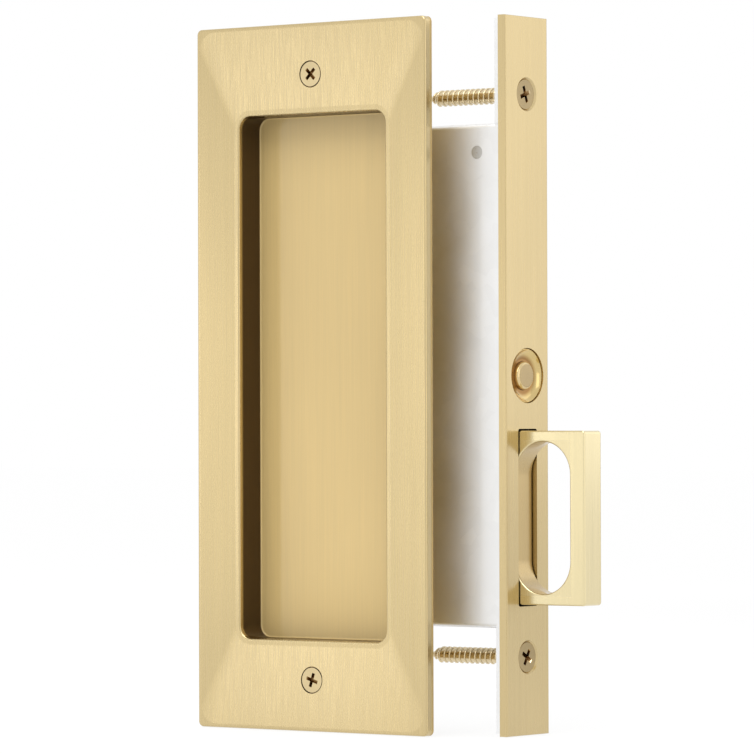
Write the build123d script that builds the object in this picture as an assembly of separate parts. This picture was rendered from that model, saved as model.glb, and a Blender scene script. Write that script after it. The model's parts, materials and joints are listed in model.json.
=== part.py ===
from build123d import *
from math import atan2, degrees, hypot, radians, tan
import os

# Pocket door mortise lock, passage type: a flush trim plate with a finger recess, a front for the
# door edge with a release button, and a loop pull that slides out of the edge on a sprung carriage.
# Millimetres. +X points out of the door edge, +Z up, and the trim is on the -Y face of the door.
# The origin lies on the seat in the door edge, at the middle of the front.

# Door that the lock is made for
door_thickness = 34.925
trim_backset = 53.2

# Trim plate and its recess
trim_width = 77.8
trim_height = 190.5
trim_thickness = 2.9
trim_corner_radius = 1.5
trim_edge_fillet = 0.5
trim_dish_depth = 0.8
trim_dish_margin = 1.0
trim_dish_land = 1.6
trim_dish_corner_radius = 5.0
recess_side_margin = 14.05
recess_end_margin = 24.35
recess_corner_radius = 3.5
recess_floor_fillet = 0.5
recess_lip_fillet = 0.5
cup_wall = 1.5
cup_floor = 1.6

# Front for the door edge
front_height = 190.5
front_width = 19.05
front_thickness = 2.5
front_edge_fillet = 0.3

# Case
case_height = 133.35
case_depth = 88.9
case_thickness = 17.46
case_sheet = 1.5
case_bend_radius = 1.2
ear_side_gap = 0.525
ear_setback = 0.6
cover_gap = 0.1
cover_edge_fillet = 0.5
post_radius = 2.6
post_spigot_radius = 1.7
post_inset = 6.0
low_post_pull_gap = 4.9
low_post_inset = 4.0

# Screws: head and shank sizes of number 8 and number 6 flat heads, and the cover's pan heads
flat_head_half_angle = 41.0
head_land = 0.2
front_screw_from_case = 7.925
front_screw_head = 7.9
front_screw_neck = 4.2
front_screw_thread = 3.8
front_screw_length = 31.75
front_screw_sink = 0.4
trim_screw_from_end = 13.75
trim_screw_head = 6.7
trim_screw_neck = 3.6
trim_screw_thread = 3.2
trim_screw_length = 19.05
trim_screw_sink = 0.06
trim_screw_ring_gap = 0.28
trim_screw_ring_depth = 0.9
screw_tip_length = 4.0
screw_tip_radius = 0.25
screw_neck_past_seat = 0.3
cover_screw_head = 6.4
cover_screw_head_height = 1.9
cover_screw_head_round = 0.95
cover_screw_thread = 3.2
cover_screw_length = 8.0
tapped_hole_spare = 1.0
cross_share_span = 0.58
cross_share_width = 0.14
cross_share_depth = 0.22
cross_foot_share = 0.7
trim_cross_turns = (45.0, 72.0)
front_cross_turns = (20.0, 60.0)

# Release button, its collar and its stem
collar_radius = 7.25
collar_rim_sink = 0.35
collar_rim_width = 0.3
collar_dish_sink = 1.6
collar_dish_fullness = 0.15
collar_body_radius = 5.0
collar_length = 9.0
button_radius = 3.8
button_sink = 0.2
button_edge_fillet = 1.0
button_flange_radius = 4.7
button_flange_thickness = 1.5
button_rise_when_latched = 1.3
button_press = 2.2
nut_side_gap = 0.73
nut_thickness = 3.0
stem_radius = 2.0
stem_seat_depth = 6.0
fork_radius = 3.0
fork_slot_side_gap = 0.25
fork_overhang = 3.6
fork_slot_reach = 4.0
fork_neck = 2.0
stem_pin_radius = 1.0
guide_sheet = 1.5
guide_half_height = 5.0
guide_top = 4.2
guide_foot = 9.0
guide_bend_radius = 1.2

# Catch
catch_hub_gap = 0.5
catch_thickness = 2.5
catch_hub_radius = 4.4
catch_bush_radius = 2.4
catch_bush_inner_end = 5.0
catch_post_radius = 1.6
catch_post_shoulder = 3.0
catch_nose_reach = 10.0
catch_nose_width = 2.4
catch_nose_depth = 1.75
catch_nose_slope = 0.8
catch_arm_height = 4.2
catch_tail_width = 4.8
catch_tail_above_pin = 2.2

# Pull and carriage
pull_thickness = 7.75
pull_travel = 21.0
pull_front_bar = 4.85
pull_hole_sink = 1.3
pull_end_bar = 2.9
pull_below_rail = 1.1
pull_below_carriage = 2.6
pull_corner_radius = 0.9
pull_edge_fillet = 0.45
pull_rear_bar = 13.0
pull_clevis_depth = 7.5
pull_slot_end_gap = 0.5
pull_slot_width = 8.5
pull_slot_corner_radius = 0.6
carriage_thickness = 3.0
carriage_rail_z = -13.5
carriage_post_gap = 0.575
carriage_rear_gap = 2.8
carriage_rear_bar = 6.0
carriage_corner_radius = 2.0
rivet_radius = 1.5
rivet_from_end = 9.0
notch_depth = 1.4
notch_margin = 0.5
notch_setback = 3.8
guide_post_pull_gap = 1.5
guide_post_radius = 2.5
guide_post_from_end = 8.5
guide_shoulder_radius = 4.0
window_setback = 3.0
spring_stop_thickness = 3.0
spring_stop_rear_gap = 1.0
spring_spigot_radius = 1.5
spring_spigot_length = 3.0

# Springs
eject_spring_radius = 2.6
eject_spring_wire = 0.8
eject_spring_turns = 10
button_spring_radius = 2.85
button_spring_wire = 0.7
button_spring_turns = 5
button_spring_room = 10.5

# Clearances
seat_gap = 0.05
fit_gap = 0.05
pin_slot_gap = 0.08
button_gap = 0.08
collar_gap = 0.08
hole_gap = 0.4
stop_gap = 0.15
slide_gap = 0.1
spring_gap = 0.15
window_gap = 0.4
cut_over = 1.0
near = 0.01

# Sizes, planes and places that follow from the sizes above
recess_width = trim_width - 2 * recess_side_margin
recess_height = trim_height - 2 * recess_end_margin
trim_screw_spacing = trim_height - 2 * trim_screw_from_end
front_screw_spacing = case_height + 2 * front_screw_from_case
door_face_y = -door_thickness / 2
trim_front_y = door_face_y - trim_thickness
case_side_y = case_thickness / 2
case_inner_y = case_side_y - case_sheet
case_rear_x = case_sheet - case_depth
case_floor_z = case_sheet - case_height / 2
ear_width = front_width - 2 * ear_side_gap
nut_across_flats = 2 * (case_inner_y - nut_side_gap)
front_back_x = case_sheet
front_face_x = front_back_x + front_thickness
recess_floor_y = -case_side_y - cup_floor
low_post_z = case_floor_z + low_post_inset
carriage_bottom_z = low_post_z + post_radius + carriage_post_gap
pull_top_z = carriage_rail_z - pull_below_rail
pull_bottom_z = carriage_bottom_z - pull_below_carriage
pull_height = pull_top_z - pull_bottom_z
pull_center_z = (pull_top_z + pull_bottom_z) / 2
pull_hole_height = pull_height - 2 * pull_end_bar
pull_slot_height = pull_height + 2 * pull_slot_end_gap
pull_end_x = front_face_x + pull_travel
pull_rear_x = front_face_x - pull_rear_bar
pull_rear_home_x = pull_rear_x - pull_travel
carriage_front_x = pull_rear_x + pull_clevis_depth
rear_post_x = case_rear_x + case_sheet + post_inset
carriage_rear_x = rear_post_x + post_radius + carriage_rear_gap + pull_travel
window_front_x = pull_rear_x - window_setback
window_rear_x = carriage_rear_x + carriage_rear_bar
spring_stop_front_x = window_rear_x + spring_stop_rear_gap + spring_stop_thickness
guide_post_x = pull_rear_home_x - guide_shoulder_radius - guide_post_pull_gap
low_post_x = pull_rear_home_x - post_radius - low_post_pull_gap
rivet_spacing = pull_height - 2 * rivet_from_end
guide_post_spacing = pull_height - 2 * guide_post_from_end
collar_rear_x = front_face_x - collar_length
button_face_x = front_face_x - button_sink
button_flange_x = collar_rear_x - button_rise_when_latched
button_rear_x = button_flange_x - button_flange_thickness
catch_pivot_drop = -carriage_rail_z - catch_hub_radius - catch_hub_gap
notch_middle_x = carriage_front_x - notch_setback
catch_pivot_x = notch_middle_x - pull_travel - catch_nose_width / 2 - catch_nose_reach
catch_pin_x = catch_pivot_x + button_press / 2
catch_pin_reach = hypot(button_press / 2, catch_pivot_drop)
catch_pin_tilt = degrees(atan2(button_press / 2, catch_pivot_drop))
guide_front_x = button_rear_x - button_spring_room
nose_tip_z = carriage_rail_z + stop_gap
top_post_z = case_height / 2 - case_sheet - post_inset
corner_posts_at = (
    (rear_post_x, top_post_z),
    (rear_post_x, case_floor_z + post_inset),
    (-post_inset, top_post_z),
    (low_post_x, low_post_z),
)
guide_posts_at = tuple(
    (guide_post_x, pull_center_z + side * guide_post_spacing / 2) for side in (1, -1)
)
catch_post_at = (catch_pivot_x, -catch_pivot_drop)
spring_stop_at = (spring_stop_front_x - spring_stop_thickness / 2, pull_center_z)


def along_x(x, z=0.0):
    """A plane whose normal is +X, with its own x along +Y."""
    return Plane(origin=(x, 0, z), x_dir=(0, 1, 0), z_dir=(1, 0, 0))


def along_y(x, y, z):
    """A plane whose normal is +Y, with its own x along +Z."""
    return Plane(origin=(x, y, z), x_dir=(0, 0, 1), z_dir=(0, 1, 0))


def facing_trim(y):
    """A plane whose normal is -Y at the trim's backset, with its own x along +X."""
    return Plane(origin=(-trim_backset, y, 0), x_dir=(1, 0, 0), z_dir=(0, -1, 0))


def side_view(sketch, thickness):
    """A plate of the sketch, drawn in X and Z, centred on the middle of the case."""
    return extrude(Plane.XZ * sketch, thickness / 2, both=True)


def turned(*points):
    """A solid turned about Z from its half section, given as (radius, height) points."""
    return revolve(Plane.XZ * make_face(Polyline(*points, close=True)), Axis.Z)


def box(x, y, z):
    """A box between pairs of x, y and z limits."""
    middle = [sum(pair) / 2 for pair in (x, y, z)]
    size = [max(pair) - min(pair) for pair in (x, y, z)]
    return Pos(*middle) * Box(*size)


def head_cone_height(head, neck):
    return (head - neck) / 2 / tan(radians(flat_head_half_angle))


def flat_head_screw(head, neck, thread, length, neck_length, turn):
    """A flat-head screw along Z with its head's top at 0 and a cross recess turned by an angle."""
    cone = head_cone_height(head, neck)
    body = turned(
        (0, 0),
        (head / 2, 0),
        (head / 2, -head_land),
        (neck / 2, -head_land - cone),
        (neck / 2, -neck_length),
        (thread / 2, -neck_length),
        (thread / 2, screw_tip_length - length),
        (screw_tip_radius, -length),
        (0, -length),
    )
    return body - Rot(0, 0, turn) * cross_recess(head)


def cross_recess(head):
    """The tapered cross that a driver fits, at 0 and downwards."""
    span = cross_share_span * head
    width = cross_share_width * head
    depth = cross_share_depth * head
    top = Rectangle(span, width) + Rectangle(width, span)
    foot_span = span - depth
    foot_width = width * cross_foot_share
    foot = Rectangle(foot_span, foot_width) + Rectangle(foot_width, foot_span)
    return loft([top, Pos(0, 0, -depth) * foot], ruled=True)


def flat_head_hole(head, neck, sink, reach):
    """What a flat-head screw's hole takes out of a plate, along Z with the plate's face at 0."""
    slope = tan(radians(flat_head_half_angle))
    mouth = head / 2 + (sink + seat_gap + head_land) * slope
    hole = neck / 2 + fit_gap
    foot = (mouth - hole) / slope
    return turned(
        (0, cut_over),
        (mouth, cut_over),
        (mouth, 0),
        (hole, -foot),
        (hole, -reach),
        (0, -reach),
    )


def post(x, z, radius):
    """A round post across the case, riveted through the tray's side by a spigot."""
    shank = extrude(along_y(x, -case_inner_y, z) * Circle(radius), 2 * case_inner_y)
    spigot = extrude(along_y(x, -case_side_y, z) * Circle(post_spigot_radius), case_sheet)
    return shank + spigot


def coil(start_x, z, length, radius, wire, turns):
    """A compression spring along X, from start_x."""
    path = Helix(length / turns, length, radius)
    section = Plane(origin=path @ 0, z_dir=path % 0) * RegularPolygon(wire / 2, 6)
    return along_x(start_x, z) * sweep(section, path=path, is_frenet=True)


def trim_dish_at(z):
    """How far the dished face of the trim lies behind its edge at this height."""
    outer = trim_height / 2 - trim_dish_margin
    inner = recess_height / 2 + trim_dish_land
    return trim_dish_depth * (outer - abs(z)) / (outer - inner)


def make_trim_plate():
    outline = RectangleRounded(trim_width, trim_height, trim_corner_radius)
    plate = extrude(facing_trim(door_face_y) * outline, trim_thickness)
    front_edges = plate.edges().filter_by_position(Axis.Y, trim_front_y - near, trim_front_y + near)
    plate = fillet(front_edges, trim_edge_fillet)
    dish_rim = RectangleRounded(
        trim_width - 2 * trim_dish_margin,
        trim_height - 2 * trim_dish_margin,
        trim_dish_corner_radius,
    )
    dish_foot = RectangleRounded(
        recess_width + 2 * trim_dish_land,
        recess_height + 2 * trim_dish_land,
        recess_corner_radius + trim_dish_land,
    )
    land_y = trim_front_y + trim_dish_depth
    plate -= loft([facing_trim(trim_front_y) * dish_rim, facing_trim(land_y) * dish_foot], ruled=True)
    cup = RectangleRounded(
        recess_width + 2 * cup_wall,
        recess_height + 2 * cup_wall,
        recess_corner_radius + cup_wall,
    )
    plate += extrude(facing_trim(-case_side_y) * cup, door_thickness / 2 - case_side_y)
    opening = RectangleRounded(recess_width, recess_height, recess_corner_radius)
    recess = extrude(facing_trim(recess_floor_y) * opening, recess_floor_y - trim_front_y)
    floor_edges = recess.faces().sort_by(Axis.Y)[-1].edges()
    plate -= fillet(floor_edges, recess_floor_fillet)
    lip = [
        edge
        for edge in plate.edges().filter_by_position(Axis.Y, land_y - near, land_y + near)
        if abs(edge.center().X + trim_backset) < recess_width / 2 + near
        and abs(edge.center().Z) < recess_height / 2 + near
    ]
    plate = fillet(lip, recess_lip_fillet)
    for z in (trim_screw_spacing / 2, -trim_screw_spacing / 2):
        face = Plane(
            origin=(-trim_backset, trim_front_y + trim_dish_at(z), z),
            x_dir=(1, 0, 0),
            z_dir=(0, -1, 0),
        )
        plate -= face * flat_head_hole(
            trim_screw_head, trim_screw_neck, trim_screw_sink, trim_thickness + cut_over
        )
        ring = Pos(0, 0, -trim_screw_ring_depth) * Circle(trim_screw_head / 2 + trim_screw_ring_gap)
        plate -= face * extrude(ring, trim_screw_ring_depth + cut_over)
    return plate


def make_trim_screws():
    screws = []
    for side, turn in zip((1, -1), trim_cross_turns):
        z = side * trim_screw_spacing / 2
        top_y = trim_front_y + trim_dish_at(z) + trim_screw_sink
        place = Plane(origin=(-trim_backset, top_y, z), x_dir=(1, 0, 0), z_dir=(0, -1, 0))
        neck_length = door_face_y - top_y + screw_neck_past_seat
        screws.append(
            place
            * flat_head_screw(
                trim_screw_head,
                trim_screw_neck,
                trim_screw_thread,
                trim_screw_length,
                neck_length,
                turn,
            )
        )
    return Compound(screws)


def pull_slot():
    """The slot that the pull slides through, drawn across the front."""
    return Pos(0, pull_center_z) * RectangleRounded(
        pull_slot_width, pull_slot_height, pull_slot_corner_radius
    )


def make_front_plate():
    plate = extrude(along_x(front_back_x) * Rectangle(front_width, front_height), front_thickness)
    front_edges = plate.faces().sort_by(Axis.X)[-1].edges()
    plate = fillet(front_edges, front_edge_fillet)
    plate -= extrude(along_x(front_back_x) * pull_slot(), front_thickness)
    plate -= extrude(along_x(front_back_x) * Circle(collar_radius + collar_gap), front_thickness)
    for side in (1, -1):
        face = along_x(front_face_x, side * front_screw_spacing / 2)
        plate -= face * flat_head_hole(
            front_screw_head, front_screw_neck, front_screw_sink, front_thickness + cut_over
        )
    return plate


def make_front_screws():
    screws = []
    for side, turn in zip((1, -1), front_cross_turns):
        place = along_x(front_face_x - front_screw_sink, side * front_screw_spacing / 2)
        neck_length = front_face_x - front_screw_sink + screw_neck_past_seat
        screws.append(
            place
            * flat_head_screw(
                front_screw_head,
                front_screw_neck,
                front_screw_thread,
                front_screw_length,
                neck_length,
                turn,
            )
        )
    return Compound(screws)


def make_case_tray():
    half = case_height / 2
    outer = box((case_rear_x, 0), (-case_side_y, case_inner_y), (-half, half))
    bends = outer.edges().filter_by_position(Axis.Y, -case_side_y - near, -case_side_y + near)
    bends = [edge for edge in bends if edge.center().X < -near]
    outer = fillet(bends, case_bend_radius)
    inner = box(
        (case_rear_x + case_sheet, 0),
        (-case_inner_y, case_inner_y),
        (case_sheet - half, half - case_sheet),
    )
    flange = Pos((case_inner_y - case_side_y) / 2) * Rectangle(case_inner_y + case_side_y, case_height)
    flange -= pull_slot()
    flange -= Circle(collar_body_radius + fit_gap)
    ear_height = front_height / 2 - ear_setback - half
    for side in (1, -1):
        ear = Pos(0, side * (half + ear_height / 2)) * Rectangle(ear_width, ear_height)
        screw_hole = Circle(front_screw_neck / 2 + hole_gap)
        flange += ear - Pos(0, side * front_screw_spacing / 2) * screw_hole
    tray = outer - inner + extrude(along_x(0) * flange, case_sheet)
    for x, z in corner_posts_at + guide_posts_at + (catch_post_at, spring_stop_at):
        hole = Circle(post_spigot_radius + fit_gap)
        tray -= extrude(along_y(x, -case_side_y, z) * hole, case_sheet)
    return tray


def make_case_cover():
    half = case_height / 2 - cover_gap
    length = (case_rear_x + cover_gap, case_sheet - cover_gap)
    cover = box(length, (case_inner_y, case_side_y), (-half, half))
    rim = cover.faces().sort_by(Axis.Y)[-1].edges()
    cover = fillet(rim, cover_edge_fillet)
    for x, z in corner_posts_at:
        hole = Circle(cover_screw_thread / 2 + fit_gap)
        cover -= extrude(along_y(x, case_inner_y, z) * hole, case_sheet)
    return cover


def make_corner_posts():
    posts = []
    tapped_depth = cover_screw_length - case_sheet + tapped_hole_spare
    for x, z in corner_posts_at:
        tapped = Circle(cover_screw_thread / 2 + fit_gap)
        hole = extrude(along_y(x, case_inner_y - tapped_depth, z) * tapped, tapped_depth)
        posts.append(post(x, z, post_radius) - hole)
    return Compound(posts)


def make_cover_screws():
    head = Cylinder(
        cover_screw_head / 2,
        cover_screw_head_height,
        align=(Align.CENTER, Align.CENTER, Align.MIN),
    )
    head = fillet(head.edges().sort_by(Axis.Z)[-1], cover_screw_head_round)
    top = Pos(0, 0, cover_screw_head_height) * cross_recess(cover_screw_head)
    shank = Cylinder(
        cover_screw_thread / 2,
        cover_screw_length,
        align=(Align.CENTER, Align.CENTER, Align.MAX),
    )
    screw = head + shank - top
    return Compound([along_y(x, case_side_y, z) * screw for x, z in corner_posts_at])


def make_guide_posts():
    posts = []
    shoulder_length = case_inner_y - carriage_thickness / 2 - slide_gap
    for x, z in guide_posts_at:
        shoulder = Circle(guide_shoulder_radius)
        shoulder = extrude(along_y(x, -case_inner_y, z) * shoulder, shoulder_length)
        posts.append(post(x, z, guide_post_radius) + shoulder)
    return Compound(posts)


def make_guide_spacers():
    spacers = []
    foot_y = carriage_thickness / 2 + slide_gap
    for x, z in guide_posts_at:
        ring = Circle(guide_shoulder_radius) - Circle(guide_post_radius + fit_gap)
        spacers.append(extrude(along_y(x, foot_y, z) * ring, case_inner_y - foot_y))
    return Compound(spacers)


def make_button_collar():
    rim_x = front_face_x - collar_rim_sink
    rim_radius = collar_radius - collar_rim_width
    bore = button_radius + button_gap
    foot_x = front_face_x - collar_dish_sink
    middle = (rim_radius + bore) / 2
    dish = ThreePointArc(
        (rim_radius, rim_x),
        (middle, foot_x + (rim_x - foot_x) * collar_dish_fullness),
        (bore, foot_x),
    )
    outer = Polyline(
        (bore, foot_x),
        (bore, collar_rear_x),
        (collar_body_radius, collar_rear_x),
        (collar_body_radius, front_back_x),
        (collar_radius, front_back_x),
        (collar_radius, rim_x - collar_rim_width),
    )
    round_over = RadiusArc(
        (collar_radius, rim_x - collar_rim_width), (rim_radius, rim_x), -collar_rim_width
    )
    section = make_face([dish, outer, round_over])
    return along_x(0) * revolve(Plane.XZ * section, Axis.Z)


def make_collar_nut():
    hexagon = RegularPolygon(nut_across_flats / 2, 6, major_radius=False, rotation=90)
    nut = hexagon - Circle(collar_body_radius + fit_gap)
    return extrude(along_x(-nut_thickness) * nut, nut_thickness)


def make_release_button():
    button = turned(
        (0, button_face_x),
        (button_radius, button_face_x),
        (button_radius, button_flange_x),
        (button_flange_radius, button_flange_x),
        (button_flange_radius, button_rear_x),
        (stem_radius, button_rear_x),
        (stem_radius, button_rear_x + stem_seat_depth),
        (0, button_rear_x + stem_seat_depth),
    )
    button = fillet(button.edges().sort_by(Axis.Z)[-1], button_edge_fillet)
    return along_x(0) * button


def make_button_stem():
    fork_rear = catch_pin_x - fork_overhang
    slot_front = catch_pin_x + fork_slot_reach
    fork_front = slot_front + fork_neck
    stem = turned(
        (0, button_rear_x + stem_seat_depth),
        (stem_radius, button_rear_x + stem_seat_depth),
        (stem_radius, fork_front),
        (fork_radius, fork_front),
        (fork_radius, fork_rear),
        (0, fork_rear),
    )
    stem = along_x(0) * stem
    cheek = catch_thickness / 2 + fork_slot_side_gap
    stem -= box((fork_rear, slot_front), (-cheek, cheek), (-fork_radius, fork_radius))
    pin_hole = Circle(stem_pin_radius)
    return stem - extrude(along_y(catch_pin_x, -fork_radius, 0) * pin_hole, 2 * fork_radius)


def make_stem_pin():
    half = fork_radius - fork_slot_side_gap
    return extrude(along_y(catch_pin_x, -half, 0) * Circle(stem_pin_radius), 2 * half)


def make_stem_guide():
    height = (-guide_half_height, guide_half_height)
    upright = box((guide_front_x - guide_sheet, guide_front_x), (-case_inner_y, guide_top), height)
    bore = stem_radius + slide_gap
    saddle = Circle(bore) + Pos(guide_top / 2) * Rectangle(guide_top, 2 * bore)
    upright -= extrude(along_x(guide_front_x - guide_sheet) * saddle, guide_sheet)
    foot = box(
        (guide_front_x - guide_foot, guide_front_x),
        (-case_inner_y, guide_sheet - case_inner_y),
        height,
    )
    guide = upright + foot
    bend = guide.edges().filter_by(Axis.Z).sort_by(Axis.Y)[0:4].sort_by(Axis.X)[-1]
    return fillet(bend, guide_bend_radius)


def make_catch_lever():
    pivot = Pos(catch_pivot_x, -catch_pivot_drop)
    nose_rear = catch_nose_reach
    nose_front = catch_nose_reach + catch_nose_width
    tip = nose_tip_z + catch_pivot_drop
    under = tip + catch_nose_depth
    arm = make_face(
        Polyline(
            (0, under),
            (nose_rear, under),
            (nose_rear, tip),
            (nose_front - catch_nose_slope, tip),
            (nose_front, tip + catch_nose_slope),
            (nose_front, under + catch_arm_height - catch_nose_slope),
            (0, under + catch_arm_height + catch_nose_slope),
            close=True,
        )
    )
    tail_top = catch_pin_reach + catch_tail_above_pin
    tail = Pos(0, tail_top / 2) * Rectangle(catch_tail_width, tail_top)
    gate = stem_pin_radius + pin_slot_gap
    notch = Pos(0, catch_pin_reach) * Circle(gate)
    notch += Pos(0, catch_pin_reach + tail_top / 2) * Rectangle(2 * gate, tail_top)
    outline = Circle(catch_hub_radius) + arm + Rot(0, 0, -catch_pin_tilt) * (tail - notch)
    return side_view(pivot * (outline - Circle(catch_bush_radius)), catch_thickness)


def make_catch_bush():
    ring = Circle(catch_bush_radius) - Circle(catch_post_radius + fit_gap)
    length = catch_bush_inner_end + case_inner_y - slide_gap
    return extrude(along_y(catch_post_at[0], -catch_bush_inner_end, catch_post_at[1]) * ring, length)


def make_catch_post():
    shoulder = Circle(catch_post_shoulder)
    length = case_inner_y - catch_bush_inner_end - slide_gap
    x, z = catch_post_at
    shoulder = extrude(along_y(x, -case_inner_y, z) * shoulder, length)
    return post(x, z, catch_post_radius) + shoulder


def make_edge_pull():
    body = Pos((pull_rear_x + pull_end_x) / 2, pull_center_z) * Rectangle(
        pull_end_x - pull_rear_x, pull_height
    )
    corners = body.vertices().sort_by(Axis.X)[-2:]
    body = fillet(corners, pull_corner_radius)
    hole_rear_x = front_face_x - pull_hole_sink
    hole_width = pull_end_x - pull_front_bar - hole_rear_x
    hole = Pos(hole_rear_x + hole_width / 2, pull_center_z) * Rot(0, 0, 90) * SlotOverall(
        pull_hole_height, hole_width
    )
    pull = side_view(body - hole, pull_thickness)
    flanks = pull.faces().filter_by(Axis.Y)
    pull = fillet(flanks.edges(), pull_edge_fillet)
    pull -= box(
        (pull_rear_x, carriage_front_x),
        (-carriage_thickness / 2, carriage_thickness / 2),
        (pull_center_z - pull_height, pull_center_z + pull_height),
    )
    rivet_hole = Circle(rivet_radius)
    for x, z in rivets_at():
        pull -= extrude(along_y(x, -pull_thickness / 2, z) * rivet_hole, pull_thickness)
    return pull


def rivets_at():
    x = (pull_rear_x + carriage_front_x) / 2
    return [(x, pull_center_z + side * rivet_spacing / 2) for side in (1, -1)]


def make_carriage_rivets():
    rivets = []
    for x, z in rivets_at():
        half = pull_thickness / 2
        rivets.append(extrude(along_y(x, -half, z) * Circle(rivet_radius), 2 * half))
    return Compound(rivets)


def make_pull_carriage():
    plate = Pos(
        (carriage_front_x + carriage_rear_x) / 2, (carriage_rail_z + carriage_bottom_z) / 2
    ) * RectangleRounded(
        carriage_front_x - carriage_rear_x,
        carriage_rail_z - carriage_bottom_z,
        carriage_corner_radius,
    )
    slot_half = guide_post_radius + slide_gap
    slot_length = pull_travel + 2 * stop_gap
    for x, z in guide_posts_at:
        slot = SlotCenterToCenter(slot_length, 2 * slot_half)
        plate -= Pos(x + pull_travel / 2, z) * slot
    window_half = eject_spring_radius + eject_spring_wire / 2 + window_gap
    plate -= Pos((window_rear_x + window_front_x) / 2, pull_center_z) * Rectangle(
        window_front_x - window_rear_x, 2 * window_half
    )
    plate += Pos(window_front_x - spring_spigot_length / 2, pull_center_z) * Rectangle(
        spring_spigot_length, 2 * spring_spigot_radius
    )
    plate -= Pos(notch_middle_x, carriage_rail_z - notch_depth / 2) * Rectangle(
        catch_nose_width + 2 * notch_margin, notch_depth
    )
    for x, z in rivets_at():
        plate -= Pos(x, z) * Circle(rivet_radius)
    return side_view(plate, carriage_thickness)


def make_spring_stop():
    x, z = spring_stop_at
    half_height = eject_spring_radius + eject_spring_wire / 2
    stop = box(
        (spring_stop_front_x - spring_stop_thickness, spring_stop_front_x),
        (-case_inner_y, case_inner_y),
        (z - half_height, z + half_height),
    )
    stop += extrude(along_y(x, -case_side_y, z) * Circle(post_spigot_radius), case_sheet)
    spigot = Circle(spring_spigot_radius)
    return stop + extrude(along_x(spring_stop_front_x, z) * spigot, spring_spigot_length)


def make_eject_spring():
    start = spring_stop_front_x + spring_gap + eject_spring_wire / 2
    end = window_front_x - spring_gap - eject_spring_wire / 2
    return coil(
        start,
        pull_center_z,
        end - start,
        eject_spring_radius,
        eject_spring_wire,
        eject_spring_turns,
    )


def make_button_spring():
    start = guide_front_x + spring_gap + button_spring_wire / 2
    end = button_rear_x - spring_gap - button_spring_wire / 2
    return coil(
        start, 0, end - start, button_spring_radius, button_spring_wire, button_spring_turns
    )


makers = {
    "trim_plate": make_trim_plate,
    "trim_screws": make_trim_screws,
    "front_plate": make_front_plate,
    "front_screws": make_front_screws,
    "case_tray": make_case_tray,
    "case_cover": make_case_cover,
    "corner_posts": make_corner_posts,
    "cover_screws": make_cover_screws,
    "guide_posts": make_guide_posts,
    "guide_spacers": make_guide_spacers,
    "button_collar": make_button_collar,
    "collar_nut": make_collar_nut,
    "release_button": make_release_button,
    "button_stem": make_button_stem,
    "stem_pin": make_stem_pin,
    "stem_guide": make_stem_guide,
    "button_spring": make_button_spring,
    "catch_lever": make_catch_lever,
    "catch_bush": make_catch_bush,
    "catch_post": make_catch_post,
    "edge_pull": make_edge_pull,
    "pull_carriage": make_pull_carriage,
    "carriage_rivets": make_carriage_rivets,
    "spring_stop": make_spring_stop,
    "eject_spring": make_eject_spring,
}

os.makedirs("parts", exist_ok=True)
for name, make in makers.items():
    export_step(make(), f"parts/{name}.step")
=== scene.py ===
import json
import math

import bmesh
import bpy
from bpy.props import FloatProperty, FloatVectorProperty, IntProperty, PointerProperty
from mathutils import Matrix, Vector


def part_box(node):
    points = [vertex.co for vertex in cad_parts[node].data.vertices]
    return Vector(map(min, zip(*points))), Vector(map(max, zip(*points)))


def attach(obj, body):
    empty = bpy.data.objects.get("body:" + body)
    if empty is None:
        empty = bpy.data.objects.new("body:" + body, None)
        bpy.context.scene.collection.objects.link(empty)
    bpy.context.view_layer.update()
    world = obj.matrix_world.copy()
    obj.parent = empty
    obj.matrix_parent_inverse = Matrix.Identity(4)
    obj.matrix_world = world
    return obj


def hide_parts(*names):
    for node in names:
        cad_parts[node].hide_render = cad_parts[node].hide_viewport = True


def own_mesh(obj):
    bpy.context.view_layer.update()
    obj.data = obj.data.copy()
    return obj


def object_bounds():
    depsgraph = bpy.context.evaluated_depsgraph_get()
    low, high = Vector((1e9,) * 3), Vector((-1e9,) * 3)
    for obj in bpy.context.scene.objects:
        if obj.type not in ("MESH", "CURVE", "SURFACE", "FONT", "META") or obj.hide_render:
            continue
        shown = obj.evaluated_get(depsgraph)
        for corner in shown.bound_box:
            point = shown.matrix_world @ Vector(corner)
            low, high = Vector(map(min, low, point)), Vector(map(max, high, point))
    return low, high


bl_info = {
    "name": "Pocket door mortise lock",
    "version": (1, 0, 0),
    "blender": (4, 5, 0),
    "location": "View3D > Sidebar > Lock",
    "description": "Finishes, screw threads, springs and studio for a pocket door lock",
    "category": "Object",
}

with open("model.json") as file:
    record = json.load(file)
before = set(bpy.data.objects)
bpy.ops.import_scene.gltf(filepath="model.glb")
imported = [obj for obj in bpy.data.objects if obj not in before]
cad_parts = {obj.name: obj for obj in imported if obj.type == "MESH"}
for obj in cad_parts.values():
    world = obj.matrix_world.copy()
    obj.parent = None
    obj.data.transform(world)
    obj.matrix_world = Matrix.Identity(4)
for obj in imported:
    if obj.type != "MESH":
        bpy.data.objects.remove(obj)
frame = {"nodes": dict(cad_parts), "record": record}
cad_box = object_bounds()

# Nodes that share a finish
TURNED = ("collar_nut", "carriage_rivets")
CASE = ("case_tray", "case_cover", "cover_screws", "stem_guide")
WORKS = (
    "corner_posts",
    "guide_posts",
    "guide_spacers",
    "button_stem",
    "stem_pin",
    "catch_lever",
    "catch_post",
    "pull_carriage",
    "spring_stop",
)

# Lengths below are in metres, and tones are shares of the metal's own colour

# Where the trim's recess takes painted shade on its floor and its walls, its roughness and its matt
# lacquer: behind the front, and outside the recess's box for its walls
RECESS_START = (0.0015, 0.0026)
RECESS_SIDE = (0.0023, 0.0016)

# Where the pull's finger hole takes painted shade on its walls and its own roughness: in from the outer
# end, and from the top and the bottom
HOLE_END = (0.0043, 0.0047)
HOLE_SIDE = (0.0022, 0.0026)
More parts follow.
